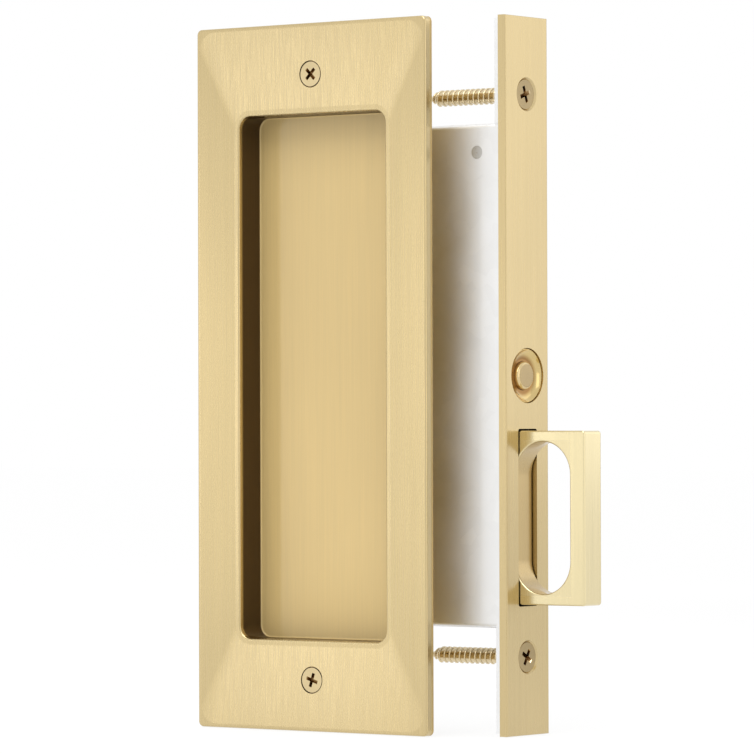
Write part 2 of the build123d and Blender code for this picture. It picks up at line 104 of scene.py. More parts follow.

# The painted shade in the gap round a trim screw's head: its width and its fade, the planes that it ends
# between behind the front, and its tone
RING_WIDTH = 0.0003
RING_FADE = 0.00003
RING_BACK = (0.0019, 0.0015)
RING_SHADE = (0.25, 0.18, 0.09)

# The driver's cross in a wood screw: its depth, and the fade and the tone of the painted shade in it
CROSS_DEPTH = 0.0019
CROSS_FADE = 0.0004
CROSS_SHADE = (0.45, 0.34, 0.22)

# The painted shade in the collar's dish: the shares of the rim's radius that it fades between, and its tone
DISH_SHARES = (0.62, 0.84)
DISH_SHADE = (0.47, 0.31, 0.13)

# A thread's ridge: half of its foot as a share of the pitch, its crest as a share of its foot, and how deep
# the foot sits in the shank
RIDGE_FOOT = 0.28
RIDGE_CREST = 0.2
RIDGE_SUNK = 0.00015

# A thread's run: where it starts past the seat, how much shorter it is than the shank, and the length and
# the end radius of its tapered point
THREAD_START = 0.0006
THREAD_SHORT = 0.0008
THREAD_TAPER = 0.0036
THREAD_TIP = 0.0004

# Facets of one turn of a spring, and of its wire
COIL_STEPS = 24
WIRE_SIDES = 10

# The values that nearly all of a noise lies between
NOISE_SPAN = (0.3, 0.7)


# Settings that a user would change

class LockFinishes(bpy.types.PropertyGroup):
    """Colours and grain of the metals."""

    plate_brass: FloatVectorProperty(
        name="Plate brass", description="Satin brass of the trim and the front",
        subtype="COLOR", size=3, min=0, max=1, default=(0.632, 0.495, 0.252),
    )
    pull_brass: FloatVectorProperty(
        name="Pull brass", description="Lighter, smoother brass of the edge pull",
        subtype="COLOR", size=3, min=0, max=1, default=(0.82, 0.70, 0.41),
    )
    turned_brass: FloatVectorProperty(
        name="Turned brass", description="Brass of the collar, the nut and the rivets",
        subtype="COLOR", size=3, min=0, max=1, default=(0.66, 0.49, 0.20),
    )
    screw_brass: FloatVectorProperty(
        name="Screw brass", description="Brass of the four wood screws",
        subtype="COLOR", size=3, min=0, max=1, default=(0.75, 0.61, 0.37),
    )
    # The button's face is later darkened by painted shade and made rougher
    button_brass: FloatVectorProperty(
        name="Button brass", description="Brass of the release button, before its face wears dull",
        subtype="COLOR", size=3, min=0, max=1, default=(0.70, 0.54, 0.28),
    )
    zinc: FloatVectorProperty(
        name="Zinc plate", description="Bright zinc on the case",
        subtype="COLOR", size=3, min=0, max=1, default=(0.90, 0.91, 0.92),
    )
    steel: FloatVectorProperty(
        name="Plain steel", description="Steel of the works inside the case",
        subtype="COLOR", size=3, min=0, max=1, default=(0.60, 0.60, 0.59),
    )
    grain_width: FloatProperty(
        name="Grain width", description="Width of one brushing line",
        subtype="DISTANCE", unit="LENGTH", min=0.00005, default=0.0003,
    )
    grain_length: FloatProperty(
        name="Grain length", description="Length of one brushing line",
        subtype="DISTANCE", unit="LENGTH", min=0.001, default=0.02,
    )


class LockThreads(bpy.types.PropertyGroup):
    """Threads of the wood screws."""

    front_pitch: FloatProperty(
        name="Front screw pitch", description="Rise of the front screws' thread in a turn",
        subtype="DISTANCE", unit="LENGTH", min=0.0005, default=0.0017,
    )
    trim_pitch: FloatProperty(
        name="Trim screw pitch", description="Rise of the trim screws' thread in a turn",
        subtype="DISTANCE", unit="LENGTH", min=0.0005, default=0.0014,
    )
    ridge: FloatProperty(
        name="Ridge height", description="How far the thread stands out of the shank",
        subtype="DISTANCE", unit="LENGTH", min=0.00005, default=0.00032,
    )
    steps: IntProperty(name="Steps in a turn", description="Facets of one turn", min=8, default=20)


class LockSprings(bpy.types.PropertyGroup):
    """The two compression springs."""

    eject_wire: FloatProperty(
        name="Eject spring wire", description="Thickness of the eject spring's wire",
        subtype="DISTANCE", unit="LENGTH", min=0.0002, default=0.0008,
    )
    eject_turns: IntProperty(name="Eject spring turns", description="Open turns", min=2, default=8)
    button_wire: FloatProperty(
        name="Button spring wire", description="Thickness of the button spring's wire",
        subtype="DISTANCE", unit="LENGTH", min=0.0002, default=0.0007,
    )
    button_turns: IntProperty(name="Button spring turns", description="Open turns", min=2, default=4)


class LockStudio(bpy.types.PropertyGroup):
    """Camera and lamps."""

    azimuth: FloatProperty(
        name="Azimuth", description="Camera's turn from the trim's face towards the door edge",
        subtype="ANGLE", unit="ROTATION", default=math.radians(37.084),
    )
    elevation: FloatProperty(
        name="Elevation", description="Camera's height as an angle",
        subtype="ANGLE", unit="ROTATION", default=math.radians(-0.553),
    )
    roll: FloatProperty(
        name="Roll", description="Camera's turn about its own axis",
        subtype="ANGLE", unit="ROTATION", default=math.radians(-0.159),
    )
    distance: FloatProperty(
        name="Distance", description="From the camera to the point it looks at",
        subtype="DISTANCE", unit="LENGTH", min=0.1, default=1.3039,
    )
    aim: FloatVectorProperty(
        name="Aim", description="Point that the camera looks at",
        subtype="TRANSLATION", unit="LENGTH", size=3, default=(-0.04197, -0.00527, -0.00004),
    )
    lens: FloatProperty(
        name="Lens", description="Focal length in millimetres on a 36 mm sensor",
        subtype="DISTANCE_CAMERA", unit="CAMERA", min=20, default=230.68,
    )
    strip_power: FloatProperty(
        name="Strip lamp", description="Power of the tall strip lamp in front of the trim",
        subtype="POWER", unit="POWER", min=0, default=0.29,
    )
    key_power: FloatProperty(
        name="Key lamp", description="Power of the high lamp that lights the recess",
        subtype="POWER", unit="POWER", min=0, default=2.85,
    )
    rear_power: FloatProperty(
        name="Rear lamp", description="Power of the lamp that the front reflects",
        subtype="POWER", unit="POWER", min=0, default=0.40,
    )
    side_power: FloatProperty(
        name="Side lamp", description="Power of the lamp that the far side of the dish reflects",
        subtype="POWER", unit="POWER", min=0, default=1.2,
    )
    sky_power: FloatProperty(
        name="Top lamp", description="Power of the soft lamp overhead",
        subtype="POWER", unit="POWER", min=0, default=1.2,
    )


# Materials

def new_metal(name, roughness, coat):
    """A lacquered metal, with its shader and its texture coordinates."""
    material = bpy.data.materials.new(name)
    material.use_nodes = True
    nodes = material.node_tree.nodes
    shader = nodes["Principled BSDF"]
    shader.inputs["Metallic"].default_value = 1.0
    shader.inputs["Roughness"].default_value = roughness
    shader.inputs["Coat Weight"].default_value = coat
    shader.inputs["Coat Roughness"].default_value = 0.12
    place = nodes.new("ShaderNodeTexCoord")
    return material, shader, place


def stretched_noise(material, place, size, detail, seed=0.0):
    """Noise whose grains have this size along x, y and z."""
    nodes, links = material.node_tree.nodes, material.node_tree.links
    mapping = nodes.new("ShaderNodeMapping")
    mapping.inputs["Scale"].default_value = [1.0 / s for s in size]
    mapping.inputs["Location"].default_value = (seed, seed, seed)
    noise = nodes.new("ShaderNodeTexNoise")
    noise.inputs["Scale"].default_value = 1.0
    noise.inputs["Detail"].default_value = detail
    links.new(place.outputs["Object"], mapping.inputs["Vector"])
    links.new(mapping.outputs["Vector"], noise.inputs["Vector"])
    return noise.outputs["Fac"]


def between(material, factor, low, high):
    """A number that follows the noise from low to high."""
    node = material.node_tree.nodes.new("ShaderNodeMapRange")
    node.inputs["From Min"].default_value = NOISE_SPAN[0]
    node.inputs["From Max"].default_value = NOISE_SPAN[1]
    node.inputs["To Min"].default_value = low
    node.inputs["To Max"].default_value = high
    material.node_tree.links.new(factor, node.inputs["Value"])
    return node.outputs["Result"]


def ramp(material, factor, dark, light, low=0.35, high=0.65):
    """A colour that goes from dark to light as the factor goes from low to high."""
    node = material.node_tree.nodes.new("ShaderNodeValToRGB")
    node.color_ramp.elements[0].position = low
    node.color_ramp.elements[0].color = (*dark, 1)
    node.color_ramp.elements[1].position = high
    node.color_ramp.elements[1].color = (*light, 1)
    material.node_tree.links.new(factor, node.inputs["Fac"])
    return node.outputs["Color"]


def multiplied(material, color, other):
    """One colour times another."""
    nodes, links = material.node_tree.nodes, material.node_tree.links
    mix = nodes.new("ShaderNodeMix")
    mix.data_type = "RGBA"
    mix.blend_type = "MULTIPLY"
    mix.inputs["Factor"].default_value = 1.0
    links.new(color, mix.inputs["A"])
    links.new(other, mix.inputs["B"])
    return mix.outputs["Result"]


def tinted(material, color, factor, amount):
    """The colour, darkened a little where the noise is low."""
    return multiplied(material, color, ramp(material, factor, (1 - amount,) * 3, (1, 1, 1)))


def dimmed(material, color, factor, dim_tone):
    """The colour, times a darker tone where the factor is 1."""
    return multiplied(material, color, ramp(material, factor, (1, 1, 1), dim_tone, low=0.0, high=1.0))


def depth(material, place, axis, start, end):
    """0 before a plane across an axis and 1 past the next one."""
    nodes, links = material.node_tree.nodes, material.node_tree.links
    axes = nodes.new("ShaderNodeSeparateXYZ")
    links.new(place.outputs["Object"], axes.inputs["Vector"])
    step = nodes.new("ShaderNodeMapRange")
    step.interpolation_type = "SMOOTHSTEP"
    step.inputs["From Min"].default_value = start
    step.inputs["From Max"].default_value = end
    links.new(axes.outputs[axis], step.inputs["Value"])
    return step.outputs["Result"]


def facing(material, place, axis, start, end):
    """0 to 1 as a face's normal turns from one share of an axis to another, either way along it."""
    nodes, links = material.node_tree.nodes, material.node_tree.links
    axes = nodes.new("ShaderNodeSeparateXYZ")
    links.new(place.outputs["Normal"], axes.inputs["Vector"])
    size = nodes.new("ShaderNodeMath")
    size.operation = "ABSOLUTE"
    links.new(axes.outputs[axis], size.inputs[0])
    step = nodes.new("ShaderNodeMapRange")
    step.inputs["From Min"].default_value = start
    step.inputs["From Max"].default_value = end
    links.new(size.outputs[0], step.inputs["Value"])
    return step.outputs["Result"]


def around(material, place, across, middles, near, far):
    """1 within the near radius of a middle and 0 past the far one, in the plane that across keeps."""
    nodes, links = material.node_tree.nodes, material.node_tree.links
    flat = nodes.new("ShaderNodeVectorMath")
    flat.operation = "MULTIPLY"
    flat.inputs[1].default_value = across
    links.new(place.outputs["Object"], flat.inputs[0])
    found = None
    for middle in middles:
        away = nodes.new("ShaderNodeVectorMath")
        away.operation = "DISTANCE"
        away.inputs[1].default_value = [m * a for m, a in zip(middle, across)]
        links.new(flat.outputs["Vector"], away.inputs[0])
        within = nodes.new("ShaderNodeMapRange")
        within.interpolation_type = "SMOOTHSTEP"
        within.inputs["From Min"].default_value = far
        within.inputs["From Max"].default_value = near
        links.new(away.outputs["Value"], within.inputs["Value"])
        share = within.outputs["Result"]
        found = raised(material, found, share, amount=1.0) if found else share
    return found


def product(material, one, other):
    """One number times another."""
    node = material.node_tree.nodes.new("ShaderNodeMath")
    node.operation = "MULTIPLY"
    material.node_tree.links.new(one, node.inputs[0])
    material.node_tree.links.new(other, node.inputs[1])
    return node.outputs[0]


def raised(material, value, factor, amount):
    """The value, higher by an amount where the factor is 1."""
    node = material.node_tree.nodes.new("ShaderNodeMath")
    node.operation = "MULTIPLY_ADD"
    material.node_tree.links.new(factor, node.inputs[0])
    node.inputs[1].default_value = amount
    material.node_tree.links.new(value, node.inputs[2])
    return node.outputs[0]


def eased(material, factor, start, end):
    """A number that goes from start to end as the factor goes from 0 to 1."""
    node = material.node_tree.nodes.new("ShaderNodeMapRange")
    node.inputs["To Min"].default_value = start
    node.inputs["To Max"].default_value = end
    material.node_tree.links.new(factor, node.inputs["Value"])
    return node.outputs["Result"]


def bumped(material, shader, height, distance, strength):
    """Gives the shader a relief that follows a height."""
    nodes, links = material.node_tree.nodes, material.node_tree.links
    bump = nodes.new("ShaderNodeBump")
    bump.inputs["Distance"].default_value = distance
    bump.inputs["Strength"].default_value = strength
    links.new(height, bump.inputs["Height"])
    links.new(bump.outputs["Normal"], shader.inputs["Normal"])


def shade(color, factor):
    """The colour times a factor, and no brighter than 1."""
    return tuple(min(1.0, c * factor) for c in color)


def brushed_metal(name, color, roughness, coat, grain, contrast, recess=None, rings=None):
    """Metal brushed up and down: fine lines in colour, roughness and relief, and a soft cloud of tone.

    recess gives the planes that a recess lies behind and those that its walls lie between, the tones of the
    painted shade on its floor and, much darker, on its walls, with their roughness, and the share of bare
    metal under the floor's matt lacquer.
    rings gives the middles of the screw holes, the radius within which they take painted shade, and the
    planes across Y behind which they have none.
    """
    material, shader, place = new_metal(name, roughness, coat)
    nodes, links = material.node_tree.nodes, material.node_tree.links
    width, length = grain
    fine = stretched_noise(material, place, (width, width, length), detail=4.0)
    broad = stretched_noise(material, place, (width * 6, width * 6, length * 5), detail=3.0, seed=3.7)
    cloud = stretched_noise(material, place, (0.05, 0.05, 0.09), detail=2.0, seed=8.1)
    tone = ramp(material, fine, shade(color, 1 - contrast), shade(color, 1 + contrast))
    tone = tinted(material, tone, broad, amount=contrast)
    tone = tinted(material, tone, cloud, amount=0.07)
    rough = between(material, fine, low=roughness - 0.05, high=roughness + 0.06)
    if recess:
        deep = None
        for span in recess["inside"]:
            step = depth(material, place, *span)
            deep = product(material, deep, step) if deep else step
        shaded_walls = product(material, deep, facing(material, place, "Y", start=0.75, end=0.2))
        for span in recess["between"]:
            shaded_walls = product(material, shaded_walls, depth(material, place, *span))
        # Painted shade: the recess's floor is tinted darker and deeper yellow and its walls are made dark,
        # where shade falls in the hollow
        tone = dimmed(material, tone, deep, recess["floor"])
        tone = dimmed(material, tone, shaded_walls, recess["wall"])
        rough = raised(material, rough, deep, amount=recess["roughness"] - roughness)
        if recess["metal"] < 1:
            flat = product(material, deep, facing(material, place, "Y", start=0.2, end=0.75))
            metal = eased(material, flat, start=1.0, end=recess["metal"])
            links.new(metal, shader.inputs["Metallic"])
    if rings:
        middles, radius, back = rings
        near, far = radius - RING_FADE, radius + RING_FADE
        # Painted shade: a dark ring in the gap between each screw head and its countersink
        shaded_ring = around(material, place, (1, 0, 1), middles, near, far)
        shaded_ring = product(material, shaded_ring, depth(material, place, "Y", *back))
        tone = dimmed(material, tone, shaded_ring, RING_SHADE)
    links.new(tone, shader.inputs["Base Color"])
    links.new(rough, shader.inputs["Roughness"])
    bumped(material, shader, fine, distance=0.00002, strength=0.15)
    across = nodes.new("ShaderNodeTangent")
    across.direction_type = "RADIAL"
    across.axis = "Z"
    shader.inputs["Anisotropic"].default_value = 0.3
    links.new(across.outputs["Tangent"], shader.inputs["Tangent"])
    return material


def turned_metal(name, color, roughness, coat, grain, cross=None, dimmed_face=None, dish_shade=None):
    """Metal from the lathe or the press: fine even grain and a soft cloud of tone.

    cross gives the axis of a screw and the two planes between which its driver's cross takes painted shade.
    For a dimmed face: the axis of a face that takes a darker tone, and that tone; the face is also made
    rougher.
    For the dish: the middle of a dish across X that takes painted shade, the two radii between which that
    fades, and its tone.
    """
    material, shader, place = new_metal(name, roughness, coat)
    links = material.node_tree.links
    fine = stretched_noise(material, place, (grain, grain, grain), detail=3.0)
    cloud = stretched_noise(material, place, (0.006, 0.006, 0.006), detail=2.0, seed=5.3)
    tone = ramp(material, fine, shade(color, 0.97), shade(color, 1.03))
    tone = tinted(material, tone, cloud, amount=0.08)
    rough = between(material, fine, low=roughness - 0.03, high=roughness + 0.04)
    if cross:
        axis, top, foot = cross
        fade = CROSS_FADE if foot > top else -CROSS_FADE
        below = depth(material, place, axis, start=top + fade / 4, end=top + fade)
        above = depth(material, place, axis, start=foot + fade, end=foot)
        # Painted shade: the driver's cross is made dark, where shade falls in it
        tone = dimmed(material, tone, product(material, below, above), CROSS_SHADE)
    if dimmed_face:
        axis, dull = dimmed_face
        face = facing(material, place, axis, start=0.9, end=0.985)
        tone = dimmed(material, tone, face, dull)
        rough = raised(material, rough, face, amount=0.18)
    if dish_shade:
        middle, near, far, dark = dish_shade
        # Painted shade: a dark ring in the dish's hollow round the button
        dish = around(material, place, (0, 1, 1), [middle], near, far)
        tone = dimmed(material, tone, dish, dark)
    links.new(tone, shader.inputs["Base Color"])
    links.new(rough, shader.inputs["Roughness"])
    bumped(material, shader, fine, distance=0.00001, strength=0.15)
    return material


def plated_metal(name, color, roughness):
    """Zinc plate: a cloudy spangle over the rolled sheet."""
    material, shader, place = new_metal(name, roughness, coat=0.0)
    nodes, links = material.node_tree.nodes, material.node_tree.links
    spangle = nodes.new("ShaderNodeTexVoronoi")
    spangle.inputs["Scale"].default_value = 260.0
    links.new(place.outputs["Object"], spangle.inputs["Vector"])
    cloud = stretched_noise(material, place, (0.03, 0.03, 0.03), detail=4.0)
    tone = ramp(material, spangle.outputs["Color"], shade(color, 0.965), color, low=0.1, high=0.9)
    tone = tinted(material, tone, cloud, amount=0.03)
    rough = between(material, cloud, low=roughness - 0.04, high=roughness + 0.06)
    links.new(tone, shader.inputs["Base Color"])
    links.new(rough, shader.inputs["Roughness"])
    return material


def dress(names, material):
    """Gives a material to all slots of these nodes."""
    for name in names:
        for slot in frame["nodes"][name].material_slots:
            slot.material = material


# Pieces

def new_piece(name, mesh, material):
    """An object at the origin that rides on the fixed lock body."""
    bmesh.ops.recalc_face_normals(mesh, faces=mesh.faces)
    data = bpy.data.meshes.new(name)
    mesh.to_mesh(data)
    mesh.free()
    for polygon in data.polygons:
        polygon.use_smooth = True
    data.materials.append(material)
    piece = bpy.data.objects.new(name, data)
    bpy.context.scene.collection.objects.link(piece)
    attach(piece, "lock")
    return piece


def wind(mesh, loop, turns, rise, steps):
    """Winds a loop of edges about Z and returns the edges at its far end."""
    count = max(1, round(turns * steps))
    wound = bmesh.ops.spin(
        mesh,
        geom=loop,
        cent=(0, 0, 0),
        axis=(0, 0, 1),
        dvec=(0, 0, rise * turns / count),
        angle=math.tau * turns,
        steps=count,
        use_duplicate=False,
    )
    return [e for e in wound["geom_last"] if isinstance(e, bmesh.types.BMEdge)]


def wire_loop(mesh, radius, thickness):
    """A round section of wire, in the plane of X and Z at this radius."""
    made = bmesh.ops.create_circle(mesh, segments=WIRE_SIDES, radius=thickness / 2)
    upright = Matrix.Translation((radius, 0, 0)) @ Matrix.Rotation(math.pi / 2, 4, "X")
    bmesh.ops.transform(mesh, matrix=upright, verts=made["verts"])
    return list({e for v in made["verts"] for e in v.link_edges})


def close_ends(mesh):
    """Fills the two open ends of what was wound."""
    bmesh.ops.holes_fill(mesh, edges=[e for e in mesh.edges if e.is_boundary], sides=0)


def coil_mesh(length, radius, wire, turns):
    """A compression spring along Z from 0, with a closed turn at each end."""
    mesh = bmesh.new()
    loop = wire_loop(mesh, radius, wire)
    bmesh.ops.translate(mesh, vec=(0, 0, wire / 2), verts=mesh.verts)
    open_rise = (length - 3 * wire) / turns
    for share, rise in ((1, wire), (turns, open_rise), (1, wire)):
        loop = wind(mesh, loop, share, rise, COIL_STEPS)
    close_ends(mesh)
    return mesh


def thread_mesh(length, root, crest, pitch, steps):
    """A thread's ridge down from Z = 0, thinning with the point over its last stretch."""
    mesh = bmesh.new()
    foot = pitch * RIDGE_FOOT
    top = foot * RIDGE_CREST
    inner = root - RIDGE_SUNK
    section = ((inner, 0, foot), (crest, 0, top), (crest, 0, -top), (inner, 0, -foot))
    corners = [mesh.verts.new(point) for point in section]
    loop = [mesh.edges.new((corners[i], corners[i - 1])) for i in range(len(corners))]
    turns = (length - pitch) / pitch
    wind(mesh, loop, turns, -pitch, steps)
    close_ends(mesh)
    for vert in mesh.verts:
        past = -vert.co.z - (length - THREAD_TAPER)
        if past > 0:
            narrow = 1 - (1 - THREAD_TIP / root) * min(1.0, past / THREAD_TAPER)
            vert.co.x *= narrow
            vert.co.y *= narrow
    return mesh


def placed(mesh, direction, start):
    """The mesh with its -Z turned to a direction and its zero moved to a start."""
    turn = Vector((0, 0, -1)).rotation_difference(Vector(direction)).to_matrix().to_4x4()
    bmesh.ops.transform(mesh, matrix=Matrix.Translation(start) @ turn, verts=mesh.verts)
    return mesh


def joined(meshes):
    """One mesh from several, which are freed."""
    whole = bmesh.new()
    for mesh in meshes:
        part = bpy.data.meshes.new("part")
        mesh.to_mesh(part)
        mesh.free()
        whole.from_mesh(part)
        bpy.data.meshes.remove(part)
    return whole


# Operators

class LOCK_OT_finish_plates(bpy.types.Operator):
    """Gives the trim and the front their upright satin brushing"""

    bl_idname = "lock.finish_plates"
    bl_label = "Finish plates"

    def execute(self, context):
        finish = context.scene.lock_finishes
        grain = (finish.grain_width, finish.grain_length)
        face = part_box("trim_plate")[0].y
        trim = brushed_metal(
            "trim_brass", finish.plate_brass, roughness=0.26, coat=0.5, grain=grain, contrast=0.03,
            recess=self.finger_recess(face), rings=self.screw_rings(face),
        )
        front = brushed_metal(
            "front_brass", finish.plate_brass, roughness=0.3, coat=0.5, grain=grain, contrast=0.03,
        )
        dress(("trim_plate",), trim)
        dress(("front_plate",), front)
        return {"FINISHED"}

    def finger_recess(self, face):
        """The recess behind the trim's face: a matt floor tinted a little by painted shade, and walls made
        dark by painted shade.
        """
        openings = frame["record"]["physics"]["openings"]
        space = next(o["box_m"] for o in openings if o["name"] == "finger_recess")
        outer, inner = RECESS_SIDE
        sides = []
        for axis, low, high in (("X", space[0][0], space[1][0]), ("Z", space[0][2], space[1][2])):
            sides += [(axis, low - outer, low - inner), (axis, high + outer, high + inner)]
        return {
            "inside": [("Y", face + RECESS_START[0], face + RECESS_START[1])],
            "between": sides,
            # Painted shade: a tint for the recess's floor and a dark tone for its walls
            "floor": (0.98, 0.92, 0.74),
            "wall": (0.15, 0.11, 0.065),
            "roughness": 0.66,
            "metal": 0.3,
        }

    def screw_rings(self, face):
        """The rings of painted shade in the gaps round the two screw heads in the trim's face."""
        low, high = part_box("trim_screws")
        head = (high.x - low.x) / 2
        middles = [(low.x + head, 0, low.z + head), (low.x + head, 0, high.z - head)]
        return middles, head + RING_WIDTH, (face + RING_BACK[0], face + RING_BACK[1])


class LOCK_OT_finish_pull(bpy.types.Operator):
    """Gives the edge pull its lighter, smoother brass"""

    bl_idname = "lock.finish_pull"
    bl_label = "Finish pull"

    def execute(self, context):
        finish = context.scene.lock_finishes
        grain = (finish.grain_width * 0.8, finish.grain_length)
        low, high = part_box("edge_pull")
        hole = {
            "inside": [
                ("X", high.x - HOLE_END[0], high.x - HOLE_END[1]),
                ("Z", high.z - HOLE_SIDE[0], high.z - HOLE_SIDE[1]),
                ("Z", low.z + HOLE_SIDE[0], low.z + HOLE_SIDE[1]),
            ],
            "between": [],
            # Painted shade: the finger hole's walls are made darker; its floor keeps the brass's own tone
            "floor": (1.0, 1.0, 1.0),
            "wall": (0.68, 0.58, 0.42),
            "roughness": 0.3,
            "metal": 1.0,
        }
        pull = brushed_metal(
            "burnished_brass", finish.pull_brass, roughness=0.22, coat=0.8, grain=grain, contrast=0.03,
            recess=hole,
        )
        dress(("edge_pull",), pull)
        return {"FINISHED"}


class LOCK_OT_finish_turned(bpy.types.Operator):
    """Gives the button, its collar, the nut, the rivets and the screws their turned brass"""

    bl_idname = "lock.finish_turned"
    bl_label = "Finish turned brass"

    def execute(self, context):
        finish = context.scene.lock_finishes
        plain = turned_metal("turned_brass", finish.turned_brass, roughness=0.2, coat=0.6, grain=0.0004)
        collar = turned_metal(
            "collar_brass", finish.turned_brass, roughness=0.15, coat=0.6, grain=0.0004,
            dish_shade=self.painted_dish_shade(),
        )
        # Painted shade: the button's face, across X, is made darker; it is also made rougher
        button = turned_metal(
            "button_brass", finish.button_brass, roughness=0.2, coat=0.5, grain=0.0003,
            dimmed_face=("X", (0.68, 0.65, 0.6)),
        )
        bush = turned_metal(
            "bronze", shade(finish.turned_brass, 0.75), roughness=0.3, coat=0.0, grain=0.0004,
        )
        dress(TURNED, plain)
        dress(("button_collar",), collar)
        dress(("release_button",), button)
        dress(("catch_bush",), bush)
        # The heads' faces take a darker tone across their axis, given for each pair of screws
        self.finish_screws("trim_screws", "Y", 0, finish.screw_brass, dull=(0.94, 0.92, 0.83))
        self.finish_screws("front_screws", "X", 1, finish.screw_brass, dull=(0.52, 0.47, 0.35))
        return {"FINISHED"}

    def painted_dish_shade(self):
        """The painted shade in the dish round the button."""
        low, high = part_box("button_collar")
        rim = (high.y - low.y) / 2
        return (low + high) / 2, rim * DISH_SHARES[0], rim * DISH_SHARES[1], DISH_SHADE

    def finish_screws(self, node, axis, side, brass, dull):
        """Dresses two wood screws, whose heads are at the low end, 0, or the high end, 1, of an axis."""
        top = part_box(node)[side]["XYZ".index(axis)]
        foot = top + (CROSS_DEPTH if side == 0 else -CROSS_DEPTH)
        screws = turned_metal(
            node + "_brass", brass, roughness=0.22, coat=0.6, grain=0.0004,
            cross=(axis, top, foot), dimmed_face=(axis, dull),
        )
        dress((node,), screws)


class LOCK_OT_finish_case(bpy.types.Operator):
    """Gives the case its zinc plate and the works their plain steel"""

    bl_idname = "lock.finish_case"
    bl_label = "Finish case and works"

    def execute(self, context):
        finish = context.scene.lock_finishes
        zinc = plated_metal("zinc_plate", finish.zinc, roughness=0.45)
        steel = turned_metal("plain_steel", finish.steel, roughness=0.3, coat=0.0, grain=0.0006)
        dress(CASE, zinc)
        dress(WORKS, steel)
        return {"FINISHED"}


class LOCK_OT_cut_threads(bpy.types.Operator):
    """Winds a thread round the four wood screws"""

    bl_idname = "lock.cut_threads"
    bl_label = "Cut screw threads"

    def execute(self, context):
        thread = context.scene.lock_threads
        self.cut("front_screws", (-1, 0, 0), along=0, root=0.0019, pitch=thread.front_pitch, thread=thread)
        self.cut("trim_screws", (0, 1, 0), along=1, root=0.0016, pitch=thread.trim_pitch, thread=thread)
        return {"FINISHED"}

    def cut(self, node, direction, along, root, pitch, thread):
        """Winds the thread round the two screws of a bolt pattern, from its seat to their points."""
        brass = frame["nodes"]["front_screws"].material_slots[0].material
        low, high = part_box(node)
        mount = next(m for m in frame["record"]["mounts"] if m["axis"] == list(direction))
        start = Vector(mount["pos_m"])
        far = low[along] if direction[along] < 0 else high[along]
        length = abs(far - start[along]) - THREAD_SHORT
        half_spacing = mount["dims"]["spacing_y_mm"] / 1000 / 2
        ridges = []
        for side in (1, -1):
            ridge = thread_mesh(length, root, root + thread.ridge, pitch, thread.steps)
            begin = start + Vector(direction) * THREAD_START + Vector((0, 0, side * half_spacing))
            ridges.append(placed(ridge, direction, begin))
        new_piece(node.replace("screws", "threads"), joined(ridges), brass)


class LOCK_OT_wind_springs(bpy.types.Operator):
    """Winds the eject spring and the button's spring with closed ends"""

    bl_idname = "lock.wind_springs"
    bl_label = "Wind springs"

    def execute(self, context):
        size = context.scene.lock_springs
        steel = shade(context.scene.lock_finishes.steel, 0.8)
        wire = turned_metal("spring_wire", steel, roughness=0.25, coat=0.0, grain=0.0003)
        self.wind_spring("eject_spring", size.eject_wire, size.eject_turns, wire, "pull_slide")
        self.wind_spring("button_spring", size.button_wire, size.button_turns, wire, "button_press")
        return {"FINISHED"}

    def wind_spring(self, node, wire, turns, material, joint):
        """Winds a coil in a spring's place and hides the solid spring; the joint is not used."""
        low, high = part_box(node)
        length = high.x - low.x
        radius = (high.z - low.z - wire) / 2
        middle = (low + high) / 2
        mesh = coil_mesh(length, radius, wire, turns)
        placed(mesh, (1, 0, 0), (high.x, middle.y, middle.z))
        piece = new_piece(node + "_coil", mesh, material)
        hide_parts(node)
        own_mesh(piece)


